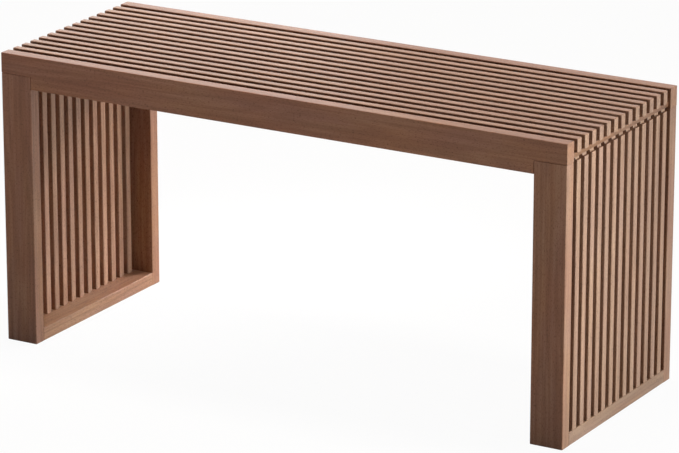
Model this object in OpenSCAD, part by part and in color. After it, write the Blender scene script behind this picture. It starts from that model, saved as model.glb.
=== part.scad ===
// Slatted dining bench. A seat panel of slats between two deep rails drops onto two slatted leg panels.
// Millimetres. The origin is on the floor under the middle of the seat.
// X runs along the bench, the front faces -Y and Z is up.

/* [Overall] */
// Length of the bench
bench_l = 944; // [700:1:1400]
// Depth of the bench, front to back
bench_d = 345; // [300:1:420]
// Height of the seat above the floor
bench_h = 450; // [400:1:500]

/* [Frame] */
// Thickness of the legs, the long rails and the cross rails
board_t = 20.5; // [18:0.5:26]
// Width of a leg and of a foot rail, along the bench
leg_w = 52; // [48:1:70]
// Height of the front and back rails
rail_h = 51; // [46:1:70]
// Height of a foot rail
foot_rail_h = 20.5; // [18:0.5:30]
// Height of the rail that ties the slats of a leg panel together at the top
top_rail_h = 20.5; // [18:0.5:24]
// Radius of the eased long edges
ease_r = 1.5; // [0.5:0.25:2.5]

/* [Slats] */
// Number of slats in the seat and in each leg panel
slat_n = 13; // [9:1:13]
// Thickness of a slat, front to back
slat_t = 12; // [10:0.5:14]
// Depth of a slat: its height in the seat, its reach along the bench in a leg panel
slat_d = 20.5; // [18:0.5:24]
// Height of the shadow line between the seat panel and the leg panel
shadow_h = 4; // [2:0.5:6]
// Depth of the shadow line
shadow_d = 3.5; // [2:0.5:6]

/* [Battens] */
// Thickness of the thin batten over each leg panel
end_batten_t = 6.5; // [5:0.5:9]
// Thickness of the battens under the middle of the seat
mid_batten_t = 18; // [15:0.5:22]
// Width of the battens under the middle of the seat
mid_batten_w = 45; // [36:1:60]
// How far the cross rails stay above the lower edge of the long rails
cross_rail_lift = 2; // [0:0.5:6]

/* [Joints] */
// Length of every stub tenon
tenon_l = 9; // [7:0.5:11]
// Thickness of every stub tenon
tenon_t = 8; // [6:0.5:9]
// Width of every stub tenon
tenon_w = 16; // [12:1:18]
// Clearance round a tenon, a dowel, a screw, a bolt or an insert
fit = 0.2; // [0.1:0.05:0.4]
// Room left past the end of a tenon or a dowel
end_room = 0.5; // [0.3:0.1:1]
// Joint line between a leg and the long rail beside it
joint_line = 0.3; // [0.2:0.1:1]
// Diameter of the dowels that hold the slats of the leg panels
slat_dowel_d = 6; // [5:0.5:7]
// Length of those dowels
slat_dowel_l = 24; // [16:1:26]
// Diameter of the dowels between a leg and the long rail over it
leg_dowel_d = 8; // [6:0.5:9]
// Length of those dowels
leg_dowel_l = 30; // [24:1:40]
// Distance of the outer leg dowel from the end of the bench
leg_dowel_x = 10; // [8:0.5:11]
// Spacing of the two leg dowels
leg_dowel_gap = 13; // [12:0.5:14]
// Distance of the top rail's tenon from the inner edge of the leg
top_tenon_set = 3; // [2:0.5:4]

/* [Fasteners] */
// Diameter of the shank of the seat screws
screw_d = 3.5; // [3:0.5:4]
// Diameter of their countersunk heads
screw_head_d = 7; // [6:0.5:8]
// Length of the seat screws
screw_l = 18; // [14:1:22]
// Height of a screw's countersunk head
screw_head_h = 2.2; // [1.5:0.1:3]
// Diameter of the bolts between the leg panels and the seat panel
bolt_d = 6; // [5:1:8]
// How far the bolts reach into the threaded inserts
bolt_reach = 9.5; // [8:0.5:12]
// Diameter of the bolt heads
bolt_head_d = 13; // [11:0.5:16]
// Height of the bolt heads
bolt_head_h = 3.5; // [2.5:0.5:5]
// Width across the flats of the bolt's hexagon socket
bolt_socket = 4; // [3:0.5:5]
// Depth of that socket
bolt_socket_h = 2.3; // [1.5:0.1:2.4]
// Distance between the two bolts of one leg panel
bolt_spacing = 180; // [100:1:220]
// Outer diameter of the threaded inserts
insert_d = 11; // [10:0.5:13]
// Length of the threaded inserts
insert_l = 14; // [12:1:16]

/* [Hidden] */
// Clear depth between the front and back rails, and the even pattern of slats across it
clear_d = bench_d - 2 * board_t;
slat_gap = (clear_d - slat_n * slat_t) / (slat_n + 1);
slat_pitch = slat_t + slat_gap;
// Levels, from the top down
slat_bottom = bench_h - slat_d;
panel_top = slat_bottom - end_batten_t;
leg_top = panel_top - shadow_h;
rail_bottom = bench_h - rail_h;
// Places along the bench, measured from its middle, and the length of a long rail's notch over a leg
end_x = bench_l / 2;
leg_in_x = end_x - leg_w;
notch_l = leg_w + joint_line;
cross_in_x = leg_in_x - board_t;
mid_batten_x = cross_in_x / 3;
end_screw_x = end_x - leg_w / 2;
// Sizes that follow from their neighbours
top_rail_w = leg_w - slat_d;
bolt_l = board_t + bolt_reach;
bolt_z = panel_top - top_rail_h / 2;
counterbore_h = mid_batten_t - end_batten_t;
// How far a cut runs past the face that it opens
cut = 1;
bore_fn = 32;

function two(n) = n < 10 ? str("0", n) : str(n);
function slat_y(i) = -clear_d / 2 + slat_gap + i * slat_pitch;
function side_name(s) = s < 0 ? "left" : "right";
function face_name(f) = f < 0 ? "front" : "back";

// Cross-section of a board with eased corners
module eased(w, h) {
    translate([ease_r, 0]) square([w - 2 * ease_r, h]);
    translate([0, ease_r]) square([w, h - 2 * ease_r]);
    for (x = [ease_r, w - ease_r], y = [ease_r, h - ease_r])
        translate([x, y]) circle(ease_r, $fn = 32);
}

// Boards that run along X, Y and Z from their lowest corner
module board_x(l, d, h) {
    rotate([90, 0, 90]) linear_extrude(l) eased(d, h);
}

module board_y(w, l, h) {
    translate([0, l, 0]) rotate([90, 0, 0]) linear_extrude(l) eased(w, h);
}

module board_z(w, d, l) {
    linear_extrude(l) eased(w, d);
}

// Puts a piece modelled for the right end at the end s, and for the back face at the face f
module at_end(s) {
    mirror([s < 0 ? 1 : 0, 0, 0]) children();
}

module at_face(f) {
    mirror([0, f < 0 ? 1 : 0, 0]) children();
}

// Two stub tenons on a cross piece between the long rails or the legs, grown by g for a mortise
module tenons(x, z, w, t, g = 0) {
    for (f = [-1, 1])
        at_face(f)
            translate([x - w / 2 - g, clear_d / 2 - (g > 0 ? cut : 0), z - t / 2 - g])
                cube([w + 2 * g, tenon_l + (g > 0 ? cut + end_room : 0), t + 2 * g]);
}

// Tenons of the cross pieces: each is also the shape of its mortise when g is the clearance
module foot_tenons(g = 0) {
    tenons(end_x - leg_w / 2, foot_rail_h / 2, tenon_w, tenon_t, g);
}

module top_tenons(g = 0) {
    tenons(leg_in_x + top_tenon_set + tenon_w / 2, leg_top - top_rail_h / 2, tenon_w, tenon_t, g);
}

module cross_tenons(g = 0) {
    tenons(leg_in_x - board_t / 2, (leg_top + slat_bottom) / 2 - tenon_t / 2, tenon_t, tenon_w, g);
}

module mid_tenons(g = 0) {
    tenons(mid_batten_x, slat_bottom - mid_batten_t / 2, tenon_w, tenon_t, g);
}

// The two dowels between one leg and its long rail. For their holes they are grown by g all round
// and by r at their ends
module leg_dowel_pair(g = 0, r = 0) {
    for (x = [0, leg_dowel_gap])
        translate([end_x - leg_dowel_x - x, bench_d / 2 - board_t / 2, leg_top - leg_dowel_l / 2 - r])
            cylinder(h = leg_dowel_l + 2 * r, d = leg_dowel_d + 2 * g, $fn = bore_fn);
}

// The dowel at the foot and the one at the head of slat i of a leg panel, grown the same way
module slat_dowel_pair(i, g = 0, r = 0) {
    translate([end_x - slat_d / 2, slat_y(i) + slat_t / 2, foot_rail_h - slat_dowel_l / 2 - r])
        cylinder(h = slat_dowel_l + 2 * r, d = slat_dowel_d + 2 * g, $fn = bore_fn);
    translate([end_x - slat_d - slat_dowel_l / 2 - r, slat_y(i) + slat_t / 2, bolt_z])
        rotate([0, 90, 0]) cylinder(h = slat_dowel_l + 2 * r, d = slat_dowel_d + 2 * g, $fn = bore_fn);
}

module slat_dowel_holes() {
    for (i = [0 : slat_n - 1]) slat_dowel_pair(i, fit, end_room);
}

// One seat screw, pointing up, with the face of its head at the origin, grown by g for its hole
module screw(g = 0) {
    cylinder(h = screw_l + g, d = screw_d + 2 * g, $fn = bore_fn);
    cylinder(h = screw_head_h, d1 = screw_head_d + 2 * g, d2 = screw_d + 2 * g, $fn = bore_fn);
}

module screws_at(x, g = 0) {
    for (i = [0 : slat_n - 1]) translate([x, slat_y(i) + slat_t / 2, panel_top]) screw(g);
}

// One bolt along X with the underside of its head at the origin
module bolt() {
    rotate([0, 90, 0]) cylinder(h = bolt_l, d = bolt_d, $fn = bore_fn);
    difference() {
        translate([-bolt_head_h, 0, 0])
            rotate([0, 90, 0]) cylinder(h = bolt_head_h, d = bolt_head_d, $fn = 48);
        translate([-bolt_head_h - cut, 0, 0])
            rotate([0, 90, 0]) cylinder(h = bolt_socket_h + cut, d = bolt_socket / cos(30), $fn = 6);
    }
}

// Everything that stands at the two bolts of a leg panel
module at_bolts(x) {
    for (f = [-1, 1]) translate([x, f * bolt_spacing / 2, bolt_z]) children();
}

// Front or back rail: its ends are notched from below over the tops of the legs
module long_rail(f) {
    color("#77503c")
        at_face(f)
            difference() {
                translate([-end_x, clear_d / 2, rail_bottom]) board_x(bench_l, board_t, rail_h);
                for (s = [-1, 1])
                    at_end(s) {
                        translate([end_x - notch_l, clear_d / 2 - cut, rail_bottom - cut])
                            cube([notch_l + cut, board_t + 2 * cut, leg_top - rail_bottom + cut]);
                        leg_dowel_pair(fit, end_room);
                        cross_tenons(fit);
                        mid_tenons(fit);
                    }
            }
}

// One slat of the seat, flush with the ends of the bench and screwed from below
module seat_slat(i) {
    color("#a97f68")
        difference() {
            translate([-end_x, slat_y(i), slat_bottom]) board_x(bench_l, slat_t, slat_d);
            for (s = [-1, 1], x = [mid_batten_x, end_screw_x]) at_end(s) screws_at(x, fit);
        }
}

// Thin batten under the ends of the seat slats: it lies on the leg panel
module end_batten(s) {
    color("#8f6650")
        at_end(s)
            difference() {
                translate([leg_in_x, -clear_d / 2, panel_top])
                    cube([leg_w - shadow_d, clear_d, end_batten_t]);
                screws_at(end_screw_x, fit);
            }
}

// Batten under the middle of the seat, counterbored for the same screws
module mid_batten(s) {
    color("#8f6650")
        at_end(s)
            difference() {
                union() {
                    translate([mid_batten_x - mid_batten_w / 2, -clear_d / 2, slat_bottom - mid_batten_t])
                        board_y(mid_batten_w, clear_d, mid_batten_t);
                    mid_tenons();
                }
                screws_at(mid_batten_x, fit);
                for (i = [0 : slat_n - 1])
                    translate([mid_batten_x, slat_y(i) + slat_t / 2, panel_top - counterbore_h - cut])
                        cylinder(h = counterbore_h + cut, d = screw_head_d + 2 * fit, $fn = bore_fn);
            }
}

// Cross rail of the seat panel that a leg panel is bolted to
module cross_rail(s) {
    color("#835a45")
        at_end(s)
            difference() {
                union() {
                    translate([cross_in_x, -clear_d / 2, rail_bottom + cross_rail_lift])
                        cube([board_t, clear_d, slat_bottom - rail_bottom - cross_rail_lift]);
                    cross_tenons();
                }
                at_bolts(cross_in_x - cut)
                    rotate([0, 90, 0]) cylinder(h = board_t + 2 * cut, d = bolt_d + 2 * fit, $fn = bore_fn);
            }
}

// Leg, with mortises for the foot rail and the top rail and dowel holes in its top
module leg(s, f) {
    color("#77503c")
        at_end(s)
            at_face(f)
                difference() {
                    translate([leg_in_x, clear_d / 2, 0]) board_z(leg_w, board_t, leg_top);
                    foot_tenons(fit);
                    top_tenons(fit);
                    leg_dowel_pair(fit, end_room);
                }
}

// Foot rail between the feet of two legs
module foot_rail(s) {
    color("#a37862")
        at_end(s)
            difference() {
                union() {
                    translate([leg_in_x, -clear_d / 2, 0]) board_y(leg_w, clear_d, foot_rail_h);
                    foot_tenons();
                }
                slat_dowel_holes();
            }
}

// Top rail of a leg panel: it stands inside the slats and takes the bolts in threaded inserts
module top_rail(s) {
    color("#835a45")
        at_end(s)
            difference() {
                union() {
                    translate([leg_in_x, -clear_d / 2, panel_top - top_rail_h])
                        cube([top_rail_w, clear_d, top_rail_h]);
                    top_tenons();
                }
                slat_dowel_holes();
                at_bolts(leg_in_x - cut)
                    rotate([0, 90, 0])
                        cylinder(h = insert_l + cut + end_room, d = insert_d + 2 * fit, $fn = bore_fn);
            }
}

// One slat of a leg panel. Its outer face stops at the height of the legs, and its tongue goes on up
// to the batten
module end_slat(s, i) {
    color("#a97f68")
        at_end(s)
            difference() {
                translate([end_x - slat_d, slat_y(i), foot_rail_h])
                    board_z(slat_d, slat_t, panel_top - foot_rail_h);
                translate([end_x - shadow_d, slat_y(i) - cut, leg_top])
                    cube([shadow_d + cut, slat_t + 2 * cut, shadow_h + cut]);
                slat_dowel_pair(i, fit, end_room);
            }
}

// Countersunk screws that hold the seat slats to their battens
module seat_screws() {
    color("#c9cbcd")
        for (s = [-1, 1], x = [mid_batten_x, end_screw_x]) at_end(s) screws_at(x);
}

// Beech dowels at the foot and the head of every slat of the leg panels
module slat_dowels() {
    color("#d8b98a")
        for (s = [-1, 1], i = [0 : slat_n - 1]) at_end(s) slat_dowel_pair(i);
}

// Beech dowels between the legs and the long rails
module leg_dowels() {
    color("#d8b98a")
        for (s = [-1, 1], f = [-1, 1]) at_end(s) at_face(f) leg_dowel_pair();
}

// Bolts through the cross rails into the leg panels
module leg_bolts() {
    color("#c9cbcd")
        for (s = [-1, 1]) at_end(s) at_bolts(cross_in_x) bolt();
}

// Threaded inserts in the top rails
module threaded_inserts() {
    color("#c8a64a")
        for (s = [-1, 1])
            at_end(s)
                at_bolts(leg_in_x)
                    rotate([0, 90, 0])
                        difference() {
                            cylinder(h = insert_l, d = insert_d, $fn = bore_fn);
                            translate([0, 0, -cut])
                                cylinder(h = insert_l + 2 * cut, d = bolt_d + 2 * fit, $fn = bore_fn);
                        }
}

long_rail(-1);  // front_rail
long_rail(1);  // back_rail
for (i = [0 : slat_n - 1])
    seat_slat(i);
for (s = [-1, 1]) {
    end_batten(s);
    mid_batten(s);
    cross_rail(s);
    for (f = [-1, 1])
        leg(s, f);
    foot_rail(s);
    top_rail(s);
    for (i = [0 : slat_n - 1])
        end_slat(s, i);
}
seat_screws();
slat_dowels();
leg_dowels();
leg_bolts();
threaded_inserts();
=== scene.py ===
import math
import random

import bmesh
import bpy
from mathutils import Matrix, Quaternion, Vector


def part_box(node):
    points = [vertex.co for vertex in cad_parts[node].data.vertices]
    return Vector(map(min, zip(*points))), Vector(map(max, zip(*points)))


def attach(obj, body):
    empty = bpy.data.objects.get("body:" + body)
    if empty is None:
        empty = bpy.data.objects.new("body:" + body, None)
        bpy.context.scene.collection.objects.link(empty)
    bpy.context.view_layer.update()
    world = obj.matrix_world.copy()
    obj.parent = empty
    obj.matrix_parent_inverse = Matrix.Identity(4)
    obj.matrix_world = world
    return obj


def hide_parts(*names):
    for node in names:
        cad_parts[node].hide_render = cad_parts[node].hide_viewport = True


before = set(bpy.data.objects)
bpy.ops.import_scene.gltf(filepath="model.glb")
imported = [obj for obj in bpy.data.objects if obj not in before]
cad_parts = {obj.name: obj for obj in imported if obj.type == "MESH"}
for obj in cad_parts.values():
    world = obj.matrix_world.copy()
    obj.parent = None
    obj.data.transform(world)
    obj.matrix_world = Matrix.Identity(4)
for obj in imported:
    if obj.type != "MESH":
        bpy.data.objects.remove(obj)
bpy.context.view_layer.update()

X, Y, Z = 0, 1, 2
MM = 0.001

# How nearly an edge or a face's normal points along an axis, as a cosine: truly, or roughly
TRULY = 0.999
ROUGHLY = 0.9
# Faces that meet at less than this are one face
FLAT = math.radians(0.5)
# Faces that meet at less than this shade as one round
ROUND = math.radians(40)

# Rounds on the boards: the long edges are run over, the ends only broken with paper
LONG_EASE = 1.3 * MM
END_EASE = 0.9 * MM
EASE_STEPS = 3

# Room round a tenon, a dowel or a screw, past its end, and beside a leg at the rail's shoulder
FIT = 0.2 * MM
END_ROOM = 0.5 * MM
SHOULDER_GAP = 0.3 * MM
# A cutter, or a tenon on its board, runs on this far past the face it meets
OVERLAP = 1 * MM

# Joinery that the frame's boxes don't give
TENON_T = 8 * MM
TENON_W = 16 * MM
TOP_TENON_SET = 3 * MM
SLAT_DOWEL_D = 6 * MM
LEG_DOWEL_D = 8 * MM
LEG_DOWEL_X = 10 * MM
LEG_DOWEL_GAP = 13 * MM
SCREW_D = 3.5 * MM
SCREW_L = 18 * MM
BORE_SIDES = 24

# Places and lengths that the boards share, read from the frame at the front right corner
leg_low, leg_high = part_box("leg_front_right")
rail_low, rail_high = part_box("front_rail")
slat_low, slat_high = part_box("seat_slat_01")
end_slat_low, end_slat_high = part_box("end_slat_right_01")
foot_low, foot_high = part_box("foot_rail_right")
top_rail_low, top_rail_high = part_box("top_rail_right")
end_batten_low, end_batten_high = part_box("end_batten_right")
mid_batten_low, mid_batten_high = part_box("mid_batten_right")
cross_rail_low, cross_rail_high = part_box("cross_rail_right")
slat_dowels_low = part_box("slat_dowels")[0]
leg_dowels_low, leg_dowels_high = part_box("leg_dowels")
leg_mid_x = (leg_low.x + leg_high.x) / 2
mid_batten_x = (mid_batten_low.x + mid_batten_high.x) / 2
end_slat_mid_x = (end_slat_low.x + end_slat_high.x) / 2
slat_dowel_hole = 2 * (foot_high.z - slat_dowels_low.z + END_ROOM)
leg_dowel_hole = leg_dowels_high.z - leg_dowels_low.z + 2 * END_ROOM
slat_count = sum(node.startswith("seat_slat_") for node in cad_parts)


def work_on(piece, kind):
    """Opens one piece in edit mode with nothing selected. The kind is VERT, EDGE or FACE."""
    bpy.ops.object.select_all(action="DESELECT")
    piece.select_set(True)
    bpy.context.view_layer.objects.active = piece
    bpy.ops.object.mode_set(mode="EDIT")
    bpy.ops.mesh.select_mode(type=kind)
    bpy.ops.mesh.select_all(action="DESELECT")


def done():
    """Closes the open piece."""
    bpy.ops.object.mode_set(mode="OBJECT")


def pick(piece, kind, test):
    """Selects the edges or faces of the open piece that pass the test."""
    shape = bmesh.from_edit_mesh(piece.data)
    for part in getattr(shape, kind):
        part.select_set(test(part))
    bmesh.update_edit_mesh(piece.data)


def blank(name, low, high):
    """A board's blank: a cube added at its place and brought to its size."""
    bpy.ops.object.select_all(action="DESELECT")
    low, high = Vector(low), Vector(high)
    bpy.ops.mesh.primitive_cube_add(size=1, location=(low + high) / 2)
    piece = bpy.context.active_object
    piece.name = name
    piece.scale = high - low
    bpy.ops.object.transform_apply(location=True, rotation=True, scale=True)
    return piece


def runs_along(edge, axis):
    """True for an edge that runs along the axis."""
    line = edge.verts[1].co - edge.verts[0].co
    return abs(line[axis]) > TRULY * line.length


def saw_across(piece, axis, at):
    """Scribes a line right round the board, square to the axis."""
    work_on(piece, "FACE")
    bpy.ops.mesh.select_all(action="SELECT")
    point, normal = Vector(), Vector()
    point[axis] = at
    normal[axis] = 1
    bpy.ops.mesh.bisect(plane_co=point, plane_no=normal)
    done()


def draw_out(piece, test, by):
    """Draws the faces that pass the test out by a vector, which makes a tongue of them."""
    work_on(piece, "FACE")
    pick(piece, "faces", test)
    bpy.ops.mesh.extrude_region_move(TRANSFORM_OT_translate={"value": by})
    bpy.ops.mesh.select_all(action="SELECT")
    bpy.ops.mesh.dissolve_limited(angle_limit=FLAT)
    done()


def ease(piece, test, radius):
    """Rounds the edges that pass the test."""
    work_on(piece, "EDGE")
    pick(piece, "edges", test)
    bpy.ops.mesh.bevel(offset=radius, segments=EASE_STEPS, affect="EDGES", clamp_overlap=True)
    done()


def ease_board(piece, grain):
    """Rounds a board's long edges, then breaks the edges round its ends."""
    ease(piece, lambda edge: runs_along(edge, grain), LONG_EASE)
    ease(piece, lambda edge: len(edge.link_faces) == 2 and meets_end(edge, grain), END_EASE)


def meets_end(edge, grain):
    """True for an edge between an end face and a long face."""
    square = [abs(face.normal[grain]) > TRULY for face in edge.link_faces]
    return square.count(True) == 1


def carve(piece, tool, way="DIFFERENCE"):
    """Cuts the tool's shape out of the piece, or joins it on with UNION. The tool is used up."""
    bpy.ops.object.select_all(action="DESELECT")
    piece.select_set(True)
    bpy.context.view_layer.objects.active = piece
    joint = piece.modifiers.new("joint", "BOOLEAN")
    joint.operation = way
    joint.solver = "EXACT"
    joint.object = tool
    bpy.ops.object.modifier_apply(modifier=joint.name)
    bpy.data.objects.remove(tool)


def bore(piece, centre, diameter, depth, axis):
    """Bores a round hole that runs the depth along the axis, half to each side of the centre."""
    bpy.ops.object.select_all(action="DESELECT")
    turn = {X: (0, math.pi / 2, 0), Y: (math.pi / 2, 0, 0), Z: (0, 0, 0)}[axis]
    bpy.ops.mesh.primitive_cylinder_add(
        vertices=BORE_SIDES, radius=diameter / 2, depth=depth, location=centre, rotation=turn
    )
    carve(piece, bpy.context.active_object)


def tenon_box(x, z, wide, thick, y_end, grow=0.0):
    """Corners of the stub tenon at the front end of a cross piece, or of its mortise where it is to
    grow by the room it needs."""
    half = Vector((wide / 2 + grow, 0, thick / 2 + grow))
    low = Vector((x, y_end - (END_ROOM if grow else 0), z)) - half
    high = Vector((x, leg_high.y + (OVERLAP if grow else 0), z)) + half
    return low, high


def cut_mortise(piece, x, z, wide, thick, y_end):
    """Cuts the mortise of a cross piece's stub tenon."""
    low, high = tenon_box(x, z, wide, thick, y_end, FIT)
    carve(piece, blank("mortise", low, high))


def slat_spot(i):
    """Middle of slat i across the bench, the same in the seat and in the leg panels."""
    low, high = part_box(f"seat_slat_{i:02d}")
    return (low.y + high.y) / 2


def bore_for_slat_dowel(piece, x, i, z, axis):
    """Bores the hole of a dowel of end slat i across its joint."""
    bore(piece, (x, slat_spot(i), z), SLAT_DOWEL_D + 2 * FIT, slat_dowel_hole, axis)


def bore_for_leg_dowels(piece, side, low, high):
    """Bores the two dowel holes across the joint of a leg and its rail. The piece is one of the two,
    and low and high are its corners."""
    for x in (LEG_DOWEL_X, LEG_DOWEL_X + LEG_DOWEL_GAP):
        centre = (side * (high.x - x), (low.y + high.y) / 2, leg_high.z)
        bore(piece, centre, LEG_DOWEL_D + 2 * FIT, leg_dowel_hole, Z)


def cut_long_rail():
    """Front rail: its upper part runs on over the legs, and the lower part stops at them."""
    shoulder = leg_low.x - SHOULDER_GAP
    piece = blank("rail", (-shoulder, rail_low.y, rail_low.z), (shoulder, rail_high.y, rail_high.z))
    for side in (-1, 1):
        saw_across(piece, Z, leg_high.z)
        draw_out(
            piece,
            lambda face: face.normal.x * side > ROUGHLY and face.calc_center_median().z > leg_high.z,
            (side * (rail_high.x - shoulder), 0, 0),
        )
    ease_board(piece, X)
    cross_x = (cross_rail_low.x + cross_rail_high.x) / 2
    cross_z = (leg_high.z + slat_low.z - TENON_T) / 2
    mid_z = (mid_batten_low.z + mid_batten_high.z) / 2
    for side in (-1, 1):
        bore_for_leg_dowels(piece, side, rail_low, rail_high)
        cut_mortise(piece, side * cross_x, cross_z, TENON_T, TENON_W, cross_rail_low.y)
        cut_mortise(piece, side * mid_batten_x, mid_z, TENON_W, TENON_T, mid_batten_low.y)
    return piece


def cut_seat_slat():
    """First slat of the seat, with its four pilot holes from below."""
    piece = blank("slat", slat_low, slat_high)
    ease_board(piece, X)
    deep = end_batten_low.z + SCREW_L + FIT - slat_low.z
    for x in (mid_batten_x, leg_mid_x):
        for side in (-1, 1):
            bore(piece, (side * x, slat_spot(1), slat_low.z), SCREW_D + 2 * FIT, 2 * deep, Z)
    return piece


def cut_leg():
    """Front right leg, with the mortises of its foot rail and top rail and the dowel holes in its
    head."""
    piece = blank("leg", leg_low, leg_high)
    ease_board(piece, Z)
    foot_z = (foot_low.z + foot_high.z) / 2
    top_z = leg_high.z - (top_rail_high.z - top_rail_low.z) / 2
    cut_mortise(piece, leg_mid_x, foot_z, TENON_W, TENON_T, foot_low.y)
    top_x = leg_low.x + TOP_TENON_SET + TENON_W / 2
    cut_mortise(piece, top_x, top_z, TENON_W, TENON_T, top_rail_low.y)
    bore_for_leg_dowels(piece, 1, leg_low, leg_high)
    return piece


def cut_foot_rail():
    """Right foot rail between the legs, with its two tenons and the dowel holes of the slats."""
    piece = blank(
        "foot", (foot_low.x, leg_high.y, foot_low.z), (foot_high.x, -leg_high.y, foot_high.z)
    )
    ease(piece, lambda edge: runs_along(edge, Y), LONG_EASE)
    foot_z = (foot_low.z + foot_high.z) / 2
    low, high = tenon_box(leg_mid_x, foot_z, TENON_W, TENON_T, foot_low.y)
    for side in (-1, 1):
        tenon = blank("tenon", low, high + Vector((0, OVERLAP, 0)))
        if side > 0:
            tenon.data.transform(Matrix.Scale(-1, 4, (0, 1, 0)))
            tenon.data.flip_normals()
        carve(piece, tenon, "UNION")
    for i in range(1, slat_count + 1):
        bore_for_slat_dowel(piece, end_slat_mid_x, i, foot_high.z, Z)
    return piece


def cut_end_slat():
    """First slat of the right leg panel: a shoulder as high as the legs, and a tongue behind it."""
    piece = blank("slat", end_slat_low, (end_slat_high.x, end_slat_high.y, leg_high.z))
    saw_across(piece, X, end_batten_high.x)
    draw_out(
        piece,
        lambda face: face.normal.z > ROUGHLY and face.calc_center_median().x < end_batten_high.x,
        (0, 0, end_slat_high.z - leg_high.z),
    )
    ease_board(piece, Z)
    bore_for_slat_dowel(piece, end_slat_mid_x, 1, foot_high.z, Z)
    head_z = (top_rail_low.z + top_rail_high.z) / 2
    bore_for_slat_dowel(piece, end_slat_low.x, 1, head_z, X)
    return piece


def low_corner(piece):
    """The least X, Y and Z of a piece."""
    points = [vertex.co for vertex in piece.data.vertices]
    return Vector([min(p[k] for p in points) for k in range(3)])


def lay(master, node, mirrored=()):
    """A copy of the master board with its own mesh, in the node's place. It is mirrored along the
    given axes for the other hand."""
    board = master.copy()
    board.data = master.data.copy()
    bpy.context.scene.collection.objects.link(board)
    for axis in mirrored:
        across = Vector()
        across[axis] = 1
        board.data.transform(Matrix.Scale(-1, 4, across))
        board.data.flip_normals()
    board.data.transform(Matrix.Translation(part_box(node)[0] - low_corner(board)))
    board.name = board.data.name = f"{node}_board"
    return board


def smooth(piece):
    """Smooth rounds between flat faces."""
    bpy.ops.object.select_all(action="DESELECT")
    piece.select_set(True)
    bpy.context.view_layer.objects.active = piece
    bpy.ops.object.shade_smooth_by_angle(angle=ROUND)
    even = piece.modifiers.new("even", "WEIGHTED_NORMAL")
    even.keep_sharp = True
    bpy.ops.object.modifier_apply(modifier=even.name)


def linear(hex_colour):
    """An sRGB hex colour as the linear red, green, blue and alpha of a socket."""
    parts = [int(hex_colour[i : i + 2], 16) / 255 for i in (1, 3, 5)]
    return [p / 12.92 if p <= 0.04045 else ((p + 0.055) / 1.055) ** 2.4 for p in parts] + [1]


def start_material(name):
    """A new material and its empty node tree."""
    material = bpy.data.materials.new(name)
    material.use_nodes = True
    material.node_tree.nodes.clear()
    return material, material.node_tree


def add(tree, kind, sockets=None, **settings):
    """Adds a node with its settings. A socket takes a value or another node's output."""
    node = tree.nodes.new(f"ShaderNode{kind}")
    for name, value in settings.items():
        setattr(node, name, value)
    for name, value in (sockets or {}).items():
        if isinstance(value, bpy.types.NodeSocket):
            tree.links.new(value, node.inputs[name])
        else:
            node.inputs[name].default_value = value
    return node


# Figure of the wood: how far each pattern goes along the grain and across it. Beech has finer
# fibres, but 0.9 mm is as fine as the picture can show
RING_FIELD = (420 * MM, 30 * MM)
STREAK = (260 * MM, 4 * MM)
FIBRE = (60 * MM, 0.9 * MM)
FLECK = (3.5 * MM, 0.6 * MM)
TAN_CLOUD = (130 * MM, 26 * MM)
MAUVE_CLOUD = (170 * MM, 38 * MM)
RINGS_IN_FIELD = 9
# A board's own number, from -1 to 1, moves its figure by this far in the log, in metres
LOG_STEP = (3.1, 5.3, 7.7)
# It moves the board's lightness too, by up to this share
BOARD_SPREAD = 0.06
# Satin lacquer: a thin coat, with less gloss than a full one of IOR 1.5. Its sheen is softer on the
# darker fibres, and the pores show through it as a shallow relief
LACQUER_IOR = 1.31
SATIN = (0.3, 0.4)
PORE_DEPTH = 0.05 * MM
PORE_SHOW = 0.35


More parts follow.
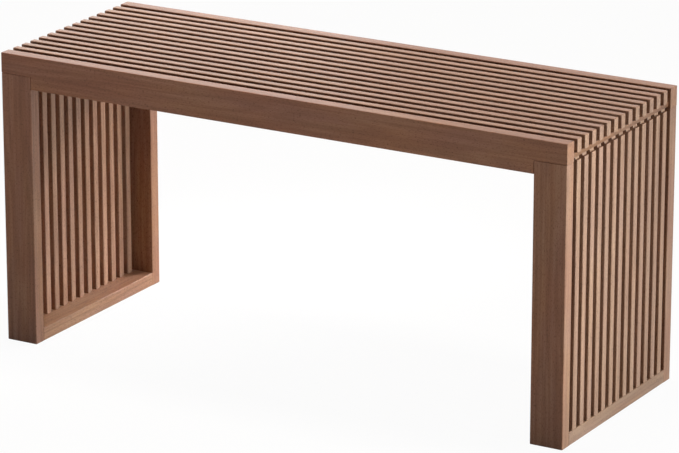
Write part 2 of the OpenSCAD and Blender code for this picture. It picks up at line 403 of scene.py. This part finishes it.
def stained_beech(name, grain, body, clouds):
    """Beech, planed and sanded, stained walnut brown and satin lacquered: an even brown body with a
    soft straight figure, tan and mauve clouds where the stain took unevenly, fine fibre streaks,
    short darker flecks, and a soft sheen at a low angle. The body is the palest tone."""
    material, tree = start_material(name)
    place = add(tree, "TexCoord").outputs["Object"]
    board = add(tree, "Attribute", attribute_name="board").outputs["Fac"]
    own_log = add(
        tree, "VectorMath", {0: board, 1: LOG_STEP, 2: place}, operation="MULTIPLY_ADD"
    ).outputs[0]

    def figure(size, detail, roughness=0.5, shift=0):
        """Noise drawn out along the grain. The shift takes it from elsewhere in the log."""
        along, across = size
        scale = [1 / across] * 3
        scale[grain] = 1 / along
        mapped = add(
            tree, "Mapping", {"Vector": own_log, "Location": (shift,) * 3, "Scale": scale}
        )
        return add(
            tree,
            "TexNoise",
            {"Vector": mapped.outputs[0], "Scale": 1, "Detail": detail, "Roughness": roughness},
        ).outputs["Fac"]

    def between(value, low, high):
        """0 up to the low value, 1 from the high one on, and even in between."""
        return add(tree, "MapRange", {"Value": value, "From Min": low, "From Max": high}).outputs[0]

    # Growth rings: contours of a slow field, about 5 mm apart
    turns = 2 * math.pi * RINGS_IN_FIELD
    field = figure(RING_FIELD, 1)
    phase = add(tree, "Math", {0: field, 1: turns}, operation="MULTIPLY").outputs[0]
    wave = add(tree, "Math", {0: phase}, operation="SINE").outputs[0]
    rings = between(wave, -1, 1)
    # Broad streaks, a few millimetres wide and a forearm long
    streaks = between(figure(STREAK, 2, shift=31), 0.36, 0.64)
    # Fibres: fine lines, the darkest and closest of the streaks
    fibres = figure(FIBRE, 3, 0.6)
    # Flecks: the cut ends of the rays, 2 to 4 mm long
    flecks = between(figure(FLECK, 0), 0.62, 0.74)
    # Stain takes unevenly: tan and mauve clouds a few fingers wide
    tan_cloud = between(figure(TAN_CLOUD, 2, shift=7), 0.38, 0.62)
    mauve_cloud = between(figure(MAUVE_CLOUD, 2, shift=53), 0.38, 0.62)

    def tint(colour, pattern, hue, share=1):
        """Tints the colour where the pattern is, up to a share."""
        strength = add(tree, "Math", {0: pattern, 1: share}, operation="MULTIPLY").outputs[0]
        return add(
            tree,
            "Mix",
            {"Factor": strength, 6: colour, 7: linear(hue)},
            data_type="RGBA",
            blend_type="MULTIPLY",
        ).outputs[2]

    colour = tint(linear(body), rings, "#eeebe8")
    colour = tint(colour, streaks, "#ebe7e3")
    colour = tint(colour, fibres, "#cdc7c2")
    colour = tint(colour, flecks, "#bcb1a8")
    colour = tint(colour, tan_cloud, "#fff7ec", clouds)
    colour = tint(colour, mauve_cloud, "#f8f3ff", clouds)
    bright = add(
        tree, "Math", {0: board, 1: BOARD_SPREAD, 2: 1}, operation="MULTIPLY_ADD"
    ).outputs[0]
    colour = add(tree, "HueSaturation", {"Color": colour, "Value": bright}).outputs[0]
    height = add(tree, "Math", {0: fibres, 1: flecks}, operation="SUBTRACT").outputs[0]
    relief = add(tree, "Bump", {"Height": height, "Distance": PORE_DEPTH, "Strength": PORE_SHOW})
    low, high = SATIN
    sheen = add(tree, "MapRange", {"Value": fibres, "To Min": low, "To Max": high}).outputs[0]
    shader = add(
        tree,
        "BsdfPrincipled",
        {
            "Base Color": colour,
            "Roughness": sheen,
            "IOR": LACQUER_IOR,
            "Normal": relief.outputs[0],
        },
    )
    add(tree, "OutputMaterial", {"Surface": shader.outputs[0]})
    return material


# How wide the mottle of bare wood is, and the dull patches of a metal
MOTTLE = 1.5 * MM
DULL_PATCH = 4 * MM
# How far a metal's roughness strays in its dull patches
PATCHY = 0.08


def turned_beech(name):
    """Bare beech dowel: pale straw wood, mottled with darker fibre, matt."""
    material, tree = start_material(name)
    place = add(tree, "TexCoord").outputs["Object"]
    grains = add(tree, "TexNoise", {"Vector": place, "Scale": 1 / MOTTLE, "Detail": 3})
    colour = add(
        tree,
        "Mix",
        {"Factor": grains.outputs["Fac"], 6: linear("#dcc096"), 7: linear("#c4a070")},
        data_type="RGBA",
    )
    shader = add(tree, "BsdfPrincipled", {"Base Color": colour.outputs[2], "Roughness": 0.7})
    add(tree, "OutputMaterial", {"Surface": shader.outputs[0]})
    return material


def plated_metal(name, body, dull, roughness):
    """Zinc plated steel or brass: a clean grey or yellow metal, duller in patches a few millimetres
    wide, with soft highlights."""
    material, tree = start_material(name)
    place = add(tree, "TexCoord").outputs["Object"]
    patches = add(tree, "TexNoise", {"Vector": place, "Scale": 1 / DULL_PATCH, "Detail": 2})
    colour = add(
        tree,
        "Mix",
        {"Factor": patches.outputs["Fac"], 6: linear(body), 7: linear(dull)},
        data_type="RGBA",
    )
    soft = add(
        tree,
        "MapRange",
        {
            "Value": patches.outputs["Fac"],
            "To Min": roughness - PATCHY,
            "To Max": roughness + PATCHY,
        },
    )
    shader = add(
        tree,
        "BsdfPrincipled",
        {"Base Color": colour.outputs[2], "Metallic": 1, "Roughness": soft.outputs[0]},
    )
    add(tree, "OutputMaterial", {"Surface": shader.outputs[0]})
    return material


# The palest tone of the boards that run each way. Each is partly the board's own stain and partly
# painted light: the slats are paler, less red and more evenly stained, partly for the lit look of
# their tops and ends, and the frame is darker and redder, partly as painted shade for its shaded
# front faces. The inner boards are darkest, as painted shade for the shadow under the seat slats'
# ends
AXIS_NAMES = {X: "x", Y: "y", Z: "z"}
# Frame tones: stain, and partly painted shade for the frame's shaded front faces
FRAME_STAIN_AND_LIGHTING = {X: "#b08163", Y: "#ae876c", Z: "#b08468"}
# Slat tone: a paler stain, and partly painted light for the slats' lit tops and ends
SLAT_STAIN_AND_LIGHTING = "#b98f75"
# Painted shade: the inner boards are made darker to stand for the shadow under the seat slats' ends
INNER_SHADED_TONE = "#976b4c"
FRAME_WOOD_AND_LIGHTING = {
    axis: stained_beech(f"stained_beech_frame_light_toned_{AXIS_NAMES[axis]}", axis, tone, clouds=1)
    for axis, tone in FRAME_STAIN_AND_LIGHTING.items()
}
SLAT_WOOD_AND_LIGHTING = {
    axis: stained_beech(f"stained_beech_slat_light_toned_{AXIS_NAMES[axis]}", axis, SLAT_STAIN_AND_LIGHTING, clouds=0.5)
    for axis in (X, Z)
}
# The inner boards' material, darkened as painted shade
shaded_inner_wood = stained_beech("stained_beech_inner_shaded_y", Y, INNER_SHADED_TONE, clouds=1)
beech_dowel = turned_beech("beech_dowel")
zinc_steel = plated_metal("zinc_plated_steel", "#c9ccd0", "#a9adb3", 0.32)
brass = plated_metal("turned_brass", "#d0ab55", "#b08a3e", 0.3)

rng = random.Random(7)


def finish(board, node, grain, slot):
    """Stains one board, gives it its own log, and lets it stand for its node."""
    smooth(board)
    log = board.data.attributes.new("board", "FLOAT", "POINT")
    number = rng.uniform(-1, 1)
    log.data.foreach_set("value", [number] * len(board.data.vertices))
    board.data.materials.clear()
    # The slats take the paler tone with painted light, the other boards the darker one with painted
    # shade
    board.data.materials.append((SLAT_WOOD_AND_LIGHTING if slot == "slat_wood" else FRAME_WOOD_AND_LIGHTING)[grain])
    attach(board, "root")
    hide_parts(node)


def lay_all():
    """Every board of the bench that shows, from one master for each kind."""
    rail = cut_long_rail()
    finish(lay(rail, "front_rail"), "front_rail", X, "frame_wood")
    finish(lay(rail, "back_rail", [Y]), "back_rail", X, "frame_wood")
    slat = cut_seat_slat()
    for i in range(1, slat_count + 1):
        node = f"seat_slat_{i:02d}"
        finish(lay(slat, node), node, X, "slat_wood")
    leg = cut_leg()
    foot = cut_foot_rail()
    upright = cut_end_slat()
    for side, turn in (("left", [X]), ("right", [])):
        for face, swap in (("front", []), ("back", [Y])):
            node = f"leg_{face}_{side}"
            finish(lay(leg, node, turn + swap), node, Z, "frame_wood")
        node = f"foot_rail_{side}"
        finish(lay(foot, node, turn), node, Y, "frame_wood")
        for i in range(1, slat_count + 1):
            node = f"end_slat_{side}_{i:02d}"
            finish(lay(upright, node, turn), node, Z, "slat_wood")
    for master in (rail, slat, leg, foot, upright):
        bpy.data.objects.remove(master)


def finish_node(node, material):
    """Gives a node that keeps its own shape its material."""
    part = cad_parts[node]
    part.data.materials.clear()
    part.data.materials.append(material)


lay_all()
# The inner boards get the darker tone, which is painted shade for the shadow under the seat
for side in ("left", "right"):
    for kind in ("end_batten", "mid_batten", "cross_rail", "top_rail"):
        finish_node(f"{kind}_{side}", shaded_inner_wood)
finish_node("seat_screws", zinc_steel)
finish_node("leg_bolts", zinc_steel)
finish_node("threaded_inserts", brass)
finish_node("slat_dowels", beech_dowel)
finish_node("leg_dowels", beech_dowel)

# Floor: a white sweep just under the feet. The camera and the gloss see this share of it as plain
# white, and the rest shows a trace of shadow
FLOOR_SIDE = 18
FLOOR_GAP = 0.2 * MM
FLOOR_PLAIN = 0.95


def shown_white(tree):
    """1 where the camera or a reflection looks, 0 for light that bounces."""
    path = add(tree, "LightPath")
    camera, gloss = path.outputs["Is Camera Ray"], path.outputs["Is Glossy Ray"]
    seen = add(tree, "Math", {0: camera, 1: gloss}, operation="MAXIMUM").outputs[0]
    through = path.outputs["Is Transmission Ray"]
    return add(tree, "Math", {0: seen, 1: through}, operation="MAXIMUM").outputs[0]


def make_floor():
    """The floor. The light that bounces off it onto the bench is a little warm."""
    bpy.ops.object.select_all(action="DESELECT")
    bpy.ops.mesh.primitive_plane_add(size=FLOOR_SIDE, location=(0, 0, -FLOOR_GAP))
    floor = bpy.context.active_object
    floor.name = "floor"
    bpy.ops.object.transform_apply(location=True, rotation=True, scale=True)
    material, tree = start_material("white_sweep")
    seen = shown_white(tree)
    bounced = add(tree, "BsdfDiffuse", {"Color": linear("#ddd8d1")})
    lit = add(tree, "BsdfDiffuse", {"Color": linear("#f2f2f2")})
    plain = add(tree, "Emission", {"Color": linear("#ffffff"), "Strength": 1})
    shown = add(tree, "MixShader", {0: FLOOR_PLAIN, 1: lit.outputs[0], 2: plain.outputs[0]})
    surface = add(tree, "MixShader", {0: seen, 1: bounced.outputs[0], 2: shown.outputs[0]})
    add(tree, "OutputMaterial", {"Surface": surface.outputs[0]})
    floor.data.materials.append(material)


# The room sends next to no light of its own, but looks white
WORLD_LIGHT = 0.01


def make_world():
    """A white room round the floor."""
    world = bpy.data.worlds.new("studio")
    world.use_nodes = True
    bpy.context.scene.world = world
    tree = world.node_tree
    tree.nodes.clear()
    soft = add(tree, "Background", {"Color": linear("#ffffff"), "Strength": WORLD_LIGHT})
    white = add(tree, "Background", {"Color": linear("#ffffff"), "Strength": 1})
    surface = add(
        tree, "MixShader", {0: shown_white(tree), 1: soft.outputs[0], 2: white.outputs[0]}
    )
    add(tree, "OutputWorld", {"Surface": surface.outputs[0]})


def softbox(name, at, aim, size, watts, tint="#ffffff", spread=180):
    """Hangs a soft lamp that the camera doesn't see. The spread is in degrees."""
    lamp = bpy.data.lights.new(name, "AREA")
    lamp.shape = "RECTANGLE"
    lamp.size, lamp.size_y = size
    lamp.energy = watts
    lamp.color = linear(tint)[:3]
    lamp.spread = math.radians(spread)
    holder = bpy.data.objects.new(name, lamp)
    bpy.context.scene.collection.objects.link(holder)
    holder.location = at
    holder.rotation_euler = (Vector(aim) - Vector(at)).to_track_quat("-Z", "Y").to_euler()
    holder.visible_camera = False


make_floor()
make_world()
MIDDLE = (0, 0, 0.25)
DAYLIGHT = "#e3f7ff"
WARM = "#ffe8d6"
# A warm light from above, and cool daylight from low at the right
softbox("top_box", (0, 0.25, 2.6), (0, 0, 0.45), (1.6, 0.6), 53, tint="#fff5eb")
softbox("right_low_box", (3.12, 0.55, 0.42), MIDDLE, (1.8, 0.5), 87, tint=DAYLIGHT)
softbox(
    "right_strip", (1.25, -0.2, 0.3), (0.47, -0.2, 0.3), (0.3, 0.9), 1.3, tint=DAYLIGHT, spread=50
)
# Weaker boxes behind and at the left, for the back, the left leg panel and the seat's left end
softbox("back_left_low_box", (-1.58, 2.74, 0.695), MIDDLE, (1.8, 0.8), 7, tint=WARM)
softbox("back_left_box", (-1.05, 1.05, 0.85), (-0.5, 0, 0.45), (0.9, 0.5), 0.4, spread=90)
softbox("under_seat_box", (0.2, 1.1, 0.7), (-0.45, 0.2, 0.02), (0.5, 0.5), 1.5, spread=30)
softbox("left_top_box", (-1.4, 0.3, 1.9), (-0.2, 0, 0.45), (1, 1), 4.5, tint=WARM)
softbox("left_box", (-2.9, 1.17, 0.92), MIDDLE, (1.8, 1.8), 9)
# The front is lit by the floor and by one low, weak box
softbox(
    "front_low_box", (-0.8, -2.6, 0.3), (0, 0, 0.75), (1.8, 0.4), 1.4, tint="#ffeee6", spread=40
)

# Camera: from the front right, 18 degrees down, as the corners of the bench in the photo give it
CAMERA_AT = (2.9762, -5.0949, 2.0993)
AZIMUTH = math.radians(30.219)
ELEVATION = math.radians(17.778)
ROLL = math.radians(-0.017)
IMAGE_WIDTH = 679
FOCAL_PX = 4185
SENSOR = 36
# It sees this far, past the ends of the floor
SIGHT = 40


def make_camera():
    """Sets the camera up and makes it the scene's."""
    lens = bpy.data.cameras.new("camera")
    lens.sensor_fit = "HORIZONTAL"
    lens.sensor_width = SENSOR
    lens.lens = FOCAL_PX / IMAGE_WIDTH * SENSOR
    lens.clip_end = SIGHT
    camera = bpy.data.objects.new("camera", lens)
    bpy.context.scene.collection.objects.link(camera)
    bpy.context.scene.camera = camera
    look = Vector((
        -math.sin(AZIMUTH) * math.cos(ELEVATION),
        math.cos(AZIMUTH) * math.cos(ELEVATION),
        -math.sin(ELEVATION),
    ))
    camera.location = CAMERA_AT
    camera.rotation_mode = "QUATERNION"
    camera.rotation_quaternion = Quaternion(look, ROLL) @ look.to_track_quat("-Z", "Y")


make_camera()
bpy.context.scene.view_settings.view_transform = "Standard"
